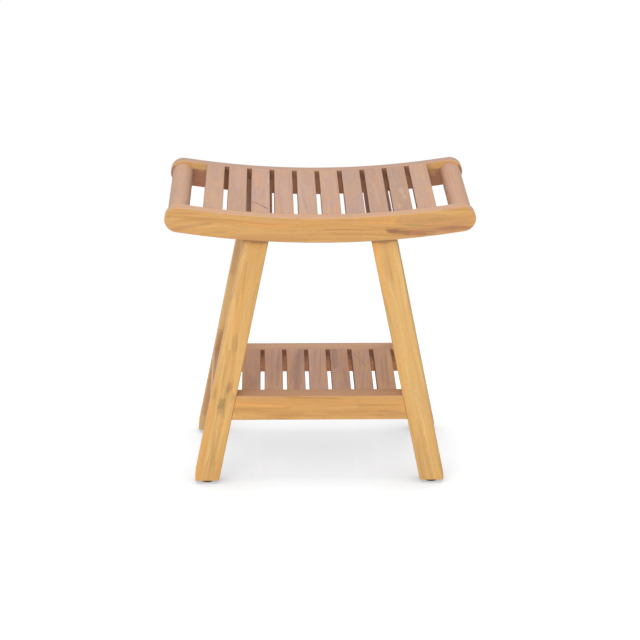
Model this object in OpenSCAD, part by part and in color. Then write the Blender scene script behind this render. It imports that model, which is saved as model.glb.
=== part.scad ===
// Teak shower bench: a dished, slatted seat with a dowel handle at each end, carried by two
// splayed side frames that also hold a slatted shelf. Millimetres, +Z up. The origin is on the
// floor under the middle of the bench, +X runs along the seat and the front faces -Y.

/* [Seat] */
// Width of the seat over the round ends of its rails
seat_w = 508; // [470:1:620]
// Depth of the seat over the faces of its rails
seat_d = 330; // [300:1:400]
// Height of the seat at the lowest point of its dish
seat_h = 473; // [430:1:520]
// Rise of the dish from its middle to the ends of the seat
seat_rise = 22.5; // [12:0.5:30]
// Height of a seat rail, which is also the diameter of its round ends
rail_h = 43; // [40:0.5:50]
// Thickness of a seat rail
rail_t = 23; // [20:0.5:30]
// Radius on the outer edges of a seat rail
rail_round = 3; // [1:0.5:6]
// Radius on the inner edges of a seat rail
rail_inner_round = 1.5; // [0.5:0.5:3]
// Number of slats in the seat
seat_slats = 10; // [8:1:11]
// Gap for the fingers between a handle and the nearest slat
hand_gap = 21.3; // [16:0.1:26]

/* [Slats] */
// Width of a slat
slat_w = 31.5; // [26:0.5:34]
// Thickness of a seat slat
slat_t = 18; // [14:0.5:20]
// Thickness of a shelf slat
shelf_slat_t = 16; // [12:0.5:20]
// Radius on the long edges of a slat
slat_round = 2; // [0.5:0.5:4]
// Length of the tenon at each end of a slat
slat_tenon_l = 10; // [6:0.5:14]
// Thickness of a slat's tenon
slat_tenon_t = 8; // [6:0.5:10]
// Shoulder on each side of a slat's tenon
slat_shoulder = 4; // [2:0.5:7]

/* [Handles] */
// Diameter of a handle
handle_d = 35; // [28:0.5:38]
// Diameter of the round tenon at each end of a handle
handle_tenon_d = 22; // [16:0.5:25]
// Length of a handle's tenon
handle_tenon_l = 12; // [8:0.5:16]

/* [Side frames] */
// Angle of the legs to the vertical
splay = 11.5; // [8:0.25:13]
// Distance from the end of the seat in to a leg's centre line, at its lower end
foot_in = 63; // [40:1:75]
// Width of a leg, a cross rail and a stretcher, across the splay
leg_w = 41.5; // [36:0.5:46]
// Thickness of a leg, front to back
leg_t = 36; // [28:0.5:40]
// Radius on the long edges of the legs, cross rails and stretchers
leg_round = 2.5; // [0.5:0.5:5]
// Amount trimmed off the outer lower corner of a leg
leg_trim = 2.2; // [1:0.1:4]
// Height of a cross rail at its middle
cross_rail_h = 24; // [20:0.5:28]
// Height of a stretcher
stretcher_h = 20; // [18:0.5:21]
// Thickness of the tenons on cross rails and stretchers
frame_tenon_t = 10; // [8:0.5:12]
// Shoulder on each side of those tenons
frame_shoulder = 8; // [5:0.5:11]

/* [Shelf] */
// Height of the top of the shelf
shelf_h = 157; // [130:1:220]
// Height of a shelf rail
shelf_rail_h = 42.5; // [38:0.5:48]
// Thickness of a shelf rail
shelf_rail_t = 35.5; // [26:0.5:36]
// Radius on the long edges of a shelf rail
shelf_rail_round = 2; // [0.5:0.5:4]
// Number of slats in the shelf
shelf_slats = 7; // [5:1:8]
// Gap between a leg and the nearest slat, at the top of the shelf
shelf_edge = 8.5; // [4:0.1:14]
// Thickness of the tenon at each end of a shelf rail
shelf_tenon_t = 8; // [6:0.5:9]
// Length of that tenon beyond the leg's face
shelf_tenon_l = 16; // [10:0.5:20]

/* [Dowels and pins] */
// Diameter of the dowels between a leg and its seat rail
dowel_d = 10; // [6:0.5:12]
// Distance between the two dowels of a leg
dowel_gap = 18; // [15:0.5:22]
// Depth of a dowel in the seat rail
dowel_in_rail = 14; // [10:0.5:16]
// Diameter of the pins that lock the tenons
pin_d = 6; // [4:0.5:7]

/* [Feet] */
// Height of a leg's lower end above the floor, with the foot screwed in
foot_h = 6; // [5:0.1:8]
// Gap between a foot pad and the leg, with the foot screwed in
pad_gap = 0.3; // [0.2:0.05:0.5]
// Diameter of a foot pad
pad_d = 20.5; // [18:0.5:26]
// Radius on the edges of a foot pad
pad_round = 0.8; // [0.2:0.1:1]
// Diameter of the levelling screw
screw_d = 6; // [5:0.5:7]
// Diameter of the screw's head inside the pad
head_d = 11; // [9:0.5:13]
// Thickness of that head
head_h = 1.8; // [1.2:0.1:2]
// Width of the screw's hexagon over its corners
hex_d = 11; // [9:0.5:12]
// Height of the hexagon
hex_h = 2.6; // [2:0.1:4]
// Diameter of the threaded insert
insert_d = 10; // [9:0.5:13]
// Length of the threaded insert
insert_l = 14; // [11:0.5:20]

/* [Fits] */
// Gap round a glued tenon, dowel or pin
glue_gap = 0.1; // [0.05:0.01:0.2]
// Gap beyond the end of a glued tenon, dowel or pin
end_gap = 0.6; // [0.3:0.1:1]
// Gap round the screw in its insert and in its pad
run_gap = 0.05; // [0.02:0.01:0.09]
// Gap above and below the screw's head in its pad
head_gap = 0.1; // [0.05:0.05:0.2]

/* [Hidden] */

$fn = 64;
// Segments of the dish's wide circles, and of the rails' round ends
arc_fn = 720;
end_fn = 96;
// Reach of shapes that are cut well past a piece, and of those cut just past a face
past = 60;
over = 1;

weathered = "#cba68f";
golden = "#dcaa64";
shelf_tan = "#b48c78";
pale = "#d8b078";
steel = "#b4b6ba";
brass = "#b08d4f";
dark_brown = "#4a3020";

// The dish: its top surface is a cylinder about an axis along Y
dish_r = (pow(seat_w / 2, 2) + pow(seat_rise, 2)) / (2 * seat_rise);
dish_z = seat_h + dish_r;
end_r = rail_h / 2;
end_a = asin((seat_w / 2 - end_r) / (dish_r + end_r));
// Distance from one seat slat to the next, along the dish
end_arc = end_a * PI / 180 * dish_r;
seat_pitch = 2 * (end_arc - handle_d / 2 - hand_gap - slat_w / 2) / (seat_slats - 1);
// Circle that the flat undersides of the slats touch with their edges
under_r = sqrt(pow(dish_r + slat_t, 2) + pow(slat_w / 2, 2));

// Places front to back, from the outer face inwards
rail_face = seat_d / 2 - rail_t;
leg_face = rail_face - leg_t;
shelf_inset = (leg_t - shelf_rail_t) / 2;
shelf_face = leg_face + shelf_inset;

// The leg's plane: its inner face at a height, and the length along it up to a height
foot_x = seat_w / 2 - foot_in;
function leg_inner_x(z) = foot_x - leg_w / 2 / cos(splay) - (z - foot_h) * tan(splay);
function up_leg(z) = (z - foot_h) / cos(splay);
function under_z(x) = dish_z - sqrt(pow(under_r, 2) - pow(x, 2));
leg_top_x = foot_x - (under_z(foot_x / 2) - foot_h) * tan(splay);
leg_top = up_leg(under_z(leg_top_x));
shelf_pitch = 2 * (leg_inner_x(shelf_h) - shelf_edge - slat_w / 2) / (shelf_slats - 1);
cross_rail_up = leg_top - cross_rail_h / 2;
stretcher_up = up_leg(shelf_h) - stretcher_h / 2;

// How far the mortises keep to either side of the leg's middle: the shelf rail's has its
// middle towards the outer face, and the frame tenons stop short of it from the inner face
mortise_shift = 3;
shelf_mortise_y = leg_t / 2 - mortise_shift;
frame_tenon_l = leg_t / 2 - mortise_shift;
dowel_in_leg = leg_t / 2;
// Shoulders below and above the shelf rail's tenon
shelf_shoulder_low = 5;
shelf_shoulder_high = 9;
shelf_tenon_low = shelf_h - shelf_rail_h + shelf_shoulder_low;
shelf_tenon_high = shelf_h - shelf_shoulder_high;
// Wood left between a pin and the lower edge of that tenon
pin_edge = 3;
pin_z = shelf_tenon_low + pin_d / 2 + pin_edge;
// How far a pin runs past a tenon's middle, lies under its face, and its hole's mouth reaches out
pin_past = 4;
shelf_pin_past = 1;
pin_sunk = 0.5;
pin_mouth = 3;

// The foot, from the floor up
pad_x = foot_x - leg_trim / 2;
pad_top = foot_h - pad_gap;
pad_y = leg_face + leg_t / 2;
// Thickness of the pad over the screw's head, and gaps under and over the hexagon
pad_lip = 1.2;
hex_gap = 0.2;
insert_gap = 0.5;
// Length of the screw beyond the insert, and its chamfer
screw_past = 4;
screw_chamfer = 0.8;
head_low = pad_top - pad_lip - head_h;
hex_low = pad_top + hex_gap;
insert_low = hex_low + hex_h + insert_gap;
screw_top = insert_low + insert_l + screw_past;
// Room in the leg round the hexagon, round the screw's end and above it
hex_room = 3;
screw_room = 1;
screw_top_room = 2;

// ---- Outlines and frames ----

// What a round edge of radius r leaves out of a square corner at the origin
module corner_cut(r) {
    difference() {
        translate([-over, -over]) square(r + over);
        translate([r, r]) circle(r);
    }
}

function all_four(r) = [r, r, r, r];

// Rectangle about the origin, with a radius for each corner from the lower left, anticlockwise
module round_rect(w, h, radii) {
    signs = [[-1, -1], [1, -1], [1, 1], [-1, 1]];
    difference() {
        square([w, h], center = true);
        for (k = [0 : 3])
            translate([signs[k].x * w / 2, signs[k].y * h / 2])
                mirror([signs[k].x > 0 ? 1 : 0, 0])
                    mirror([0, signs[k].y > 0 ? 1 : 0])
                        corner_cut(radii[k]);
    }
}

// Bar along Y of length l, with all four long edges rounded
module bar_y(w, h, l, r) {
    rotate([90, 0, 0])
        linear_extrude(l, center = true) round_rect(w, h, all_four(r));
}

// Frame on the dish at an angle from its middle and a radius, with +Z towards the dish's axis
module on_dish(a, r) {
    translate([0, 0, dish_z]) rotate([0, -a, 0]) translate([0, 0, -r]) children();
}

// Frame of the right-hand legs: +Z runs up the leg and +X outwards across it
module on_leg() {
    translate([foot_x, 0, foot_h]) rotate([0, -splay, 0]) children();
}

// Moves what is drawn for the front right corner to another corner
module to_corner(sx, sy) {
    mirror([sx < 0 ? 1 : 0, 0, 0]) mirror([0, sy > 0 ? 1 : 0, 0]) children();
}

function slat_angle(i) = (i - (seat_slats - 1) / 2) * seat_pitch / dish_r * 180 / PI;
function shelf_slat_x(i) = (i - (shelf_slats - 1) / 2) * shelf_pitch;

// Everything below the slats' undersides
module under_seat() {
    rotate([90, 0, 0])
        translate([0, dish_z, 0])
            difference() {
                translate([-seat_w / 2, -dish_z, -seat_d / 2]) cube([seat_w, dish_z, seat_d]);
                cylinder(h = 2 * seat_d, r = under_r, center = true, $fn = arc_fn);
            }
}

// ---- Seat ----

// Slat centred on its top face's middle, running along Y between two faces, with its tenons
module slat(t, span) {
    translate([0, 0, -t / 2]) {
        bar_y(slat_w, t, span, slat_round);
        cube([slat_w - 2 * slat_shoulder, span + 2 * slat_tenon_l, slat_tenon_t], center = true);
    }
}

// Mortises at both ends of that slat
module slat_mortises(t, span) {
    w = slat_w - 2 * slat_shoulder + 2 * glue_gap;
    l = span + 2 * (slat_tenon_l + end_gap);
    translate([0, 0, -t / 2]) cube([w, l, slat_tenon_t + 2 * glue_gap], center = true);
}

// Seat rail at the front: a bent bar with full round ends
module seat_rail_blank() {
    radii = [rail_inner_round, rail_inner_round, rail_round, rail_round];
    translate([0, -rail_face - rail_t / 2, 0]) {
        translate([0, 0, dish_z])
            rotate([90, 0, 0])
                rotate([0, 0, -90 - end_a])
                    rotate_extrude(angle = 2 * end_a, $fn = arc_fn)
                        translate([dish_r + end_r, 0]) round_rect(rail_h, rail_t, radii);
        for (side = [-1, 1])
            on_dish(side * end_a, dish_r + end_r)
                rotate([90, 0, 0])
                    rotate([0, 0, -90 * side])
                        rotate_extrude(angle = 180, $fn = end_fn)
                            intersection() {
                                round_rect(rail_h, rail_t, radii);
                                translate([0, -rail_t]) square([rail_h, 2 * rail_t]);
                            }
    }
}

module seat_rail(sy) {
    color(golden)
        to_corner(1, sy)
            difference() {
                seat_rail_blank();
                for (i = [0 : seat_slats - 1])
                    on_dish(slat_angle(i), dish_r) slat_mortises(slat_t, 2 * rail_face);
                for (side = [-1, 1]) {
                    on_dish(side * end_a, dish_r + end_r)
                        rotate([90, 0, 0])
                            cylinder(h = rail_face + handle_tenon_l + end_gap,
                                     d = handle_tenon_d + 2 * glue_gap);
                    mirror([side < 0 ? 1 : 0, 0, 0]) {
                        leg_dowel_pair(glue_gap, end_gap);
                        handle_pin(glue_gap, end_gap);
                    }
                }
            }
}

module seat_slat(i) {
    color(weathered) on_dish(slat_angle(i), dish_r) slat(slat_t, 2 * rail_face);
}

module handle(sx) {
    color(weathered)
        difference() {
            on_dish(sx * end_a, dish_r + end_r)
                rotate([90, 0, 0]) {
                    cylinder(h = 2 * rail_face, d = handle_d, center = true);
                    cylinder(h = 2 * (rail_face + handle_tenon_l), d = handle_tenon_d, center = true);
                }
            for (sy = [-1, 1]) to_corner(sx, sy) handle_pin(glue_gap, end_gap);
        }
}

// ---- Side frames ----

module leg(sx, sy) {
    color(golden)
        to_corner(sx, sy)
            difference() {
                intersection() {
                    on_leg()
                        translate([0, -leg_face - leg_t / 2, -past])
                            linear_extrude(leg_top + 2 * past)
                                round_rect(leg_w, leg_t, all_four(leg_round));
                    under_seat();
                    translate([0, -seat_d / 2, foot_h])
                        cube([foot_x + leg_w / 2 / cos(splay) - leg_trim, seat_d, seat_h]);
                }
                frame_tenons(cross_rail_up, glue_gap, end_gap);
                frame_tenons(stretcher_up, glue_gap, end_gap);
                shelf_tenon(glue_gap, end_gap);
                leg_dowel_pair(glue_gap, end_gap);
                leg_pins(glue_gap, end_gap);
                foot_hole();
            }
}

// Tenons of a piece that runs front to back between the legs, centred at a length up the leg
module frame_tenons(up, gap, beyond) {
    size = [leg_w - 2 * frame_shoulder + 2 * gap,
            2 * (leg_face + frame_tenon_l + beyond),
            frame_tenon_t + 2 * gap];
    on_leg() translate([0, 0, up]) cube(size, center = true);
}

// Cross rail under the seat, cut to the dish on top like the legs beside it
module cross_rail(sx) {
    color(golden)
        to_corner(sx, -1)
            difference() {
                union() {
                    intersection() {
                        on_leg()
                            translate([0, 0, leg_top - cross_rail_h + past / 2])
                                bar_y(leg_w, past, 2 * leg_face, leg_round);
                        under_seat();
                    }
                    frame_tenons(cross_rail_up, 0, 0);
                }
                for (sy = [-1, 1]) to_corner(1, sy) frame_pin(cross_rail_up, glue_gap, end_gap);
            }
}

// Stretcher between the feet of a side frame, level with the shelf along its middle
module stretcher(sx) {
    color(golden)
        to_corner(sx, -1)
            difference() {
                union() {
                    on_leg()
                        translate([0, 0, stretcher_up])
                            bar_y(leg_w, stretcher_h, 2 * leg_face, leg_round);
                    frame_tenons(stretcher_up, 0, 0);
                }
                for (sy = [-1, 1]) to_corner(1, sy) frame_pin(stretcher_up, glue_gap, end_gap);
            }
}

// ---- Shelf ----

// Tenon of the front shelf rail in the front right leg
module shelf_tenon(gap, beyond) {
    inner = leg_inner_x((shelf_tenon_low + shelf_tenon_high) / 2);
    outer_y = -leg_face - leg_t + shelf_mortise_y - shelf_tenon_t / 2;
    size = [inner + shelf_tenon_l + beyond,
            shelf_tenon_t + 2 * gap,
            shelf_tenon_high - shelf_tenon_low + 2 * gap];
    translate([0, outer_y - gap, shelf_tenon_low - gap]) cube(size);
}

module shelf_rail(sy) {
    color(golden)
        to_corner(1, sy)
            difference() {
                union() {
                    intersection() {
                        translate([0, -shelf_face - shelf_rail_t / 2, shelf_h - shelf_rail_h / 2])
                            rotate([0, 0, 90])
                                bar_y(shelf_rail_t, shelf_rail_h, 2 * foot_x, shelf_rail_round);
                        for (m = [0, 1]) mirror([m, 0, 0]) between_legs();
                    }
                    for (m = [0, 1]) mirror([m, 0, 0]) shelf_tenon(0, 0);
                }
                for (i = [0 : shelf_slats - 1])
                    translate([shelf_slat_x(i), 0, shelf_h]) slat_mortises(shelf_slat_t, 2 * shelf_face);
                for (m = [0, 1]) mirror([m, 0, 0]) shelf_pin(glue_gap, end_gap);
            }
}

// Half of the space between the side frames, up to the right legs' inner faces
module between_legs() {
    z_low = shelf_h - shelf_rail_h - over;
    z_high = shelf_h + over;
    rotate([90, 0, 0])
        linear_extrude(2 * seat_d, center = true)
            polygon([[0, z_low], [leg_inner_x(z_low), z_low], [leg_inner_x(z_high), z_high], [0, z_high]]);
}

module shelf_slat(i) {
    color(shelf_tan) translate([shelf_slat_x(i), 0, shelf_h]) slat(shelf_slat_t, 2 * shelf_face);
}

// ---- Dowels and pins, each drawn with a gap round it and beyond its ends ----

// Two dowels across the joint between the front right leg and the seat rail
module leg_dowel_pair(gap, beyond) {
    for (side = [-1, 1])
        on_leg()
            translate([side * dowel_gap / 2, -rail_face + dowel_in_leg + beyond, cross_rail_up])
                rotate([90, 0, 0])
                    cylinder(h = dowel_in_leg + dowel_in_rail + 2 * beyond, d = dowel_d + 2 * gap);
}

// Pin driven along +Z from a face at z = 0. It stops just under the face, which its hole breaks
module pin(length, gap, beyond) {
    low = beyond > 0 ? -pin_mouth : pin_sunk;
    translate([0, 0, low]) cylinder(h = length + beyond - low, d = pin_d + 2 * gap);
}

// Pin from the leg's inner face through a frame tenon
module frame_pin(up, gap, beyond) {
    on_leg()
        translate([-leg_w / 2, -leg_face - frame_tenon_l / 2, up])
            rotate([0, 90, 0]) pin(leg_w / 2 + pin_past, gap, beyond);
}

// Pin from behind the front right leg into the shelf rail's tenon
module shelf_pin(gap, beyond) {
    translate([leg_inner_x(pin_z) + shelf_tenon_l / 2, -leg_face, pin_z])
        rotate([90, 0, 0]) pin(leg_t - shelf_mortise_y + shelf_pin_past, gap, beyond);
}

// Pin from under the seat rail into the right handle's front tenon
module handle_pin(gap, beyond) {
    on_dish(end_a, dish_r + end_r)
        translate([0, -rail_face - handle_tenon_l / 2, -end_r])
            pin(end_r + pin_past, gap, beyond);
}

module leg_pins(gap, beyond) {
    frame_pin(cross_rail_up, gap, beyond);
    frame_pin(stretcher_up, gap, beyond);
    shelf_pin(gap, beyond);
}

module leg_dowels() {
    color(pale)
        for (sx = [-1, 1], sy = [-1, 1]) to_corner(sx, sy) leg_dowel_pair(0, 0);
}

module locking_pins() {
    color(pale)
        for (sx = [-1, 1], sy = [-1, 1])
            to_corner(sx, sy) {
                leg_pins(0, 0);
                handle_pin(0, 0);
            }
}

// ---- Feet ----

// Hole up into the front right leg for the insert, the screw's end and its hexagon
module foot_hole() {
    translate([pad_x, -pad_y, 0]) {
        cylinder(h = insert_low, d = hex_d + hex_room);
        cylinder(h = insert_low + insert_l + end_gap, d = insert_d + 2 * glue_gap);
        cylinder(h = screw_top + screw_top_room, d = screw_d + screw_room);
    }
}

module foot_inserts() {
    color(brass)
        for (sx = [-1, 1], sy = [-1, 1])
            to_corner(sx, sy)
                translate([pad_x, -pad_y, insert_low])
                    difference() {
                        cylinder(h = insert_l, d = insert_d);
                        translate([0, 0, -over])
                            cylinder(h = insert_l + 2 * over, d = screw_d + 2 * run_gap);
                    }
}

module foot_screw(sx, sy) {
    color(steel)
        to_corner(sx, sy)
            translate([pad_x, -pad_y, 0]) {
                translate([0, 0, head_low]) cylinder(h = head_h, d = head_d);
                translate([0, 0, head_low])
                    cylinder(h = screw_top - screw_chamfer - head_low, d = screw_d);
                translate([0, 0, hex_low]) cylinder(h = hex_h, d = hex_d, $fn = 6);
                translate([0, 0, screw_top - screw_chamfer])
                    cylinder(h = screw_chamfer, d1 = screw_d, d2 = screw_d - 2 * screw_chamfer);
            }
}

module foot_pad(sx, sy) {
    color(dark_brown)
        to_corner(sx, sy)
            translate([pad_x, -pad_y, 0])
                difference() {
                    rotate_extrude()
                        intersection() {
                            translate([0, pad_top / 2])
                                round_rect(pad_d, pad_top, all_four(pad_round));
                            square([pad_d, pad_top]);
                        }
                    translate([0, 0, head_low - head_gap])
                        cylinder(h = head_h + 2 * head_gap, d = head_d + 2 * run_gap);
                    translate([0, 0, head_low]) cylinder(h = pad_top, d = screw_d + 2 * run_gap);
                }
}

// ---- Nodes ----

seat_rail(-1);  // seat_rail_front
seat_rail(1);  // seat_rail_rear
for (i = [1 : seat_slats])
    seat_slat(i - 1);
handle(-1);  // handle_left
handle(1);  // handle_right
cross_rail(-1);  // cross_rail_left
cross_rail(1);  // cross_rail_right
leg(-1, -1);  // leg_front_left
leg(1, -1);  // leg_front_right
leg(-1, 1);  // leg_rear_left
leg(1, 1);  // leg_rear_right
stretcher(-1);  // stretcher_left
stretcher(1);  // stretcher_right
shelf_rail(-1);  // shelf_rail_front
shelf_rail(1);  // shelf_rail_rear
for (i = [1 : shelf_slats])
    shelf_slat(i - 1);
leg_dowels();
locking_pins();
foot_inserts();
foot_screw(-1, -1);  // foot_screw_front_left
foot_screw(1, -1);  // foot_screw_front_right
foot_screw(-1, 1);  // foot_screw_rear_left
foot_screw(1, 1);  // foot_screw_rear_right
foot_pad(-1, -1);  // foot_pad_front_left
foot_pad(1, -1);  // foot_pad_front_right
foot_pad(-1, 1);  // foot_pad_rear_left
foot_pad(1, 1);  // foot_pad_rear_right
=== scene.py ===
import bpy
import math
import numpy as np
from mathutils import Matrix, Vector


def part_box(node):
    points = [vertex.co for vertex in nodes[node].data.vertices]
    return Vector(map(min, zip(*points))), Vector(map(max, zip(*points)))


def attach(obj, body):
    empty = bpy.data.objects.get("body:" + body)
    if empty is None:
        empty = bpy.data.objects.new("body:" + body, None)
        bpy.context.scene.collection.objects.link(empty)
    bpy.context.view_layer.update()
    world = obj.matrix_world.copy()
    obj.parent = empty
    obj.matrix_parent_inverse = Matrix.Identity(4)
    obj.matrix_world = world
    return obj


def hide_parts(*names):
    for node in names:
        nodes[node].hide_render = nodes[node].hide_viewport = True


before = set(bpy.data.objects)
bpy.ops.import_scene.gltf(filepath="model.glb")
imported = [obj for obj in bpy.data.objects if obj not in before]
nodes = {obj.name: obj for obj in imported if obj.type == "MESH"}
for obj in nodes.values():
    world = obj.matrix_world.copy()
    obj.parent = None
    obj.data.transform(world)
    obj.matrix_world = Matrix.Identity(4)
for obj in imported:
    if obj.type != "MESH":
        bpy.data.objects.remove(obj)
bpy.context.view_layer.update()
print("frame loaded:", len(nodes), "nodes")

# the bench's own measures in metres and radians, as in the CAD source
benchValues = {"splay": math.radians(11.5), "dishRadius": 1.44494, "dishHeight": 1.91794, "railHeight": 0.043,
               "seatPitch": 0.0390, "shelfHeight": 0.157}

# teak as it shows on this bench, linear colours
woodColours = {
    "honey": {"Wood": (0.690, 0.392, 0.138), "Ring": (0.500, 0.245, 0.075), "Warm": (0.770, 0.385, 0.110),
              "Pale": (0.790, 0.510, 0.190)},  # faces that stand upright
    "rose": {"Wood": (0.494, 0.295, 0.207), "Ring": (0.390, 0.205, 0.145), "Warm": (0.560, 0.303, 0.175),
             "Pale": (0.535, 0.342, 0.256)},  # slats and handles, rinsed and rubbed, and partly a painted sheen
    "mauve": {"Wood": (0.598, 0.352, 0.241), "Ring": (0.430, 0.222, 0.155), "Warm": (0.650, 0.350, 0.200),
              "Pale": (0.644, 0.412, 0.308)},  # slats of the shelf
}
damp = (0.235, 0.092, 0.056)  # painted shade on faces deep inside the gaps
brown = (0.440, 0.225, 0.085)  # undersides
poreColour = (0.150, 0.072, 0.036)
cloudTints = {"mauve": (0.93, 0.97, 1.10, 1.0), "amber": (1.05, 1.02, 0.86, 1.0)}  # factors, so some are over 1


def rgba(colour, tone=1.0):
    # tone is one factor, or one for each of red, green and blue
    factors = tone if isinstance(tone, tuple) else (tone, tone, tone)
    return (*[min(c * f, 1.0) for c, f in zip(colour, factors)], 1.0)


class Nodes:
    # short ways to add and wire nodes; an input is a socket or a plain value
    def __init__(self, tree):
        self.tree = tree
        self.count = 0

    def put(self, socket, value):
        if isinstance(value, bpy.types.NodeSocket):
            self.tree.links.new(value, socket)
        elif value is not None:
            socket.default_value = value

    def add(self, kind, inputs=None, **settings):
        node = self.tree.nodes.new(kind)
        node.location = (self.count % 12 * 180, -(self.count // 12) * 260)
        self.count += 1
        for key, value in settings.items():
            setattr(node, key, value)
        for key, value in (inputs or {}).items():
            self.put(node.inputs[key], value)
        return node

    def math(self, operation, *values, clamp=False):
        return self.add("ShaderNodeMath", dict(enumerate(values)), operation=operation, use_clamp=clamp).outputs[0]

    def vector(self, operation, *values):
        node = self.add("ShaderNodeVectorMath", dict(enumerate(values)), operation=operation)
        return node.outputs["Value" if operation in ("DOT_PRODUCT", "LENGTH", "DISTANCE") else "Vector"]

    def times(self, vector, scale):
        return self.vector("MULTIPLY", vector, scale)

    def spread(self, value):
        return self.add("ShaderNodeCombineXYZ", {0: value, 1: value, 2: value}).outputs[0]

    def part(self, vector, index):
        return self.add("ShaderNodeSeparateXYZ", {0: vector}).outputs[index]

    def noise(self, vector, scale=1.0, detail=2.0, roughness=0.5):
        return self.add("ShaderNodeTexNoise", {"Vector": vector, "Scale": scale, "Detail": detail,
                                               "Roughness": roughness}).outputs["Fac"]

    def smooth(self, value, low, high, to=(0.0, 1.0)):
        return self.add("ShaderNodeMapRange", {"Value": value, "From Min": low, "From Max": high, "To Min": to[0],
                                               "To Max": to[1]}, interpolation_type="SMOOTHSTEP").outputs[0]

    def mix(self, share, first, second):
        node = self.add("ShaderNodeMix", data_type="RGBA")
        for k, value in ((0, share), (6, first), (7, second)):
            self.put(node.inputs[k], value)
        return node.outputs[2]

    def group(self, tree, **inputs):
        # input names are written in camelCase and stand for the socket names in words
        node = self.add("ShaderNodeGroup", node_tree=tree)
        for key, value in inputs.items():
            label = "".join(" " + c if c.isupper() else c for c in key).title()
            self.put(node.inputs[label], value)
        return node.outputs

    def surface(self, shader):
        self.put(self.add("ShaderNodeOutputMaterial").inputs["Surface"], shader)


def newGroup(name, inputs, outputs):
    # a shader node group with named sockets: inputs are (label, kind, value), outputs (label, kind)
    tree = bpy.data.node_groups.new(name, "ShaderNodeTree")
    for label, kind, value in inputs:
        tree.interface.new_socket(name=label, in_out="INPUT", socket_type="NodeSocket" + kind).default_value = value
    for label, kind in outputs:
        tree.interface.new_socket(name=label, in_out="OUTPUT", socket_type="NodeSocket" + kind)
    n = Nodes(tree)
    return tree, n, n.add("NodeGroupInput").outputs, n.add("NodeGroupOutput").inputs


def newMaterial(name):
    material = bpy.data.materials.new(name)
    material.use_nodes = True
    material.node_tree.nodes.clear()
    return material, Nodes(material.node_tree)


grainValues = {
    # how fine each noise is, in waves a metre, with Y along the grain
    "slow": (8.0, 2.2, 8.0), "band": (70.0, 1.6, 70.0), "streak": (200.0, 3.2, 200.0), "fine": (950.0, 16.0, 950.0),
    "pore": (1900.0, 95.0, 1900.0), "cloud": (60.0, 18.0, 60.0),
    # the two levels of its noise between which each effect grows
    "warmLevels": (0.50, 0.68), "paleLevels": (0.48, 0.32), "lineLevels": (0.50, 0.72), "lightLevels": (0.48, 0.30),
    "fineLevels": (0.40, 0.75), "poreLevels": (0.60, 0.72), "cloudLevels": (0.34, 0.66),
    # rings: how far they bend, how often and how much they crowd, where in its width each darkens and ends, and
    # how strong the weakest is
    "bend": 6.0, "crowdOften": 0.31, "crowdMuch": 2.6, "lateGrows": (0.20, 0.82), "lateEnds": (1.0, 0.84),
    "weakestRing": 0.25,
    # how much of each effect shows
    "light": 0.7, "fineShare": 0.22, "poreShare": 0.5, "latePoresLost": 0.7, "fineFigure": 0.3, "ringFigure": 0.8,
    "roughness": 0.50, "fineRoughness": 0.16, "ringRoughness": -0.08, "fineHeight": 0.35, "ringHeight": 0.25}


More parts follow.
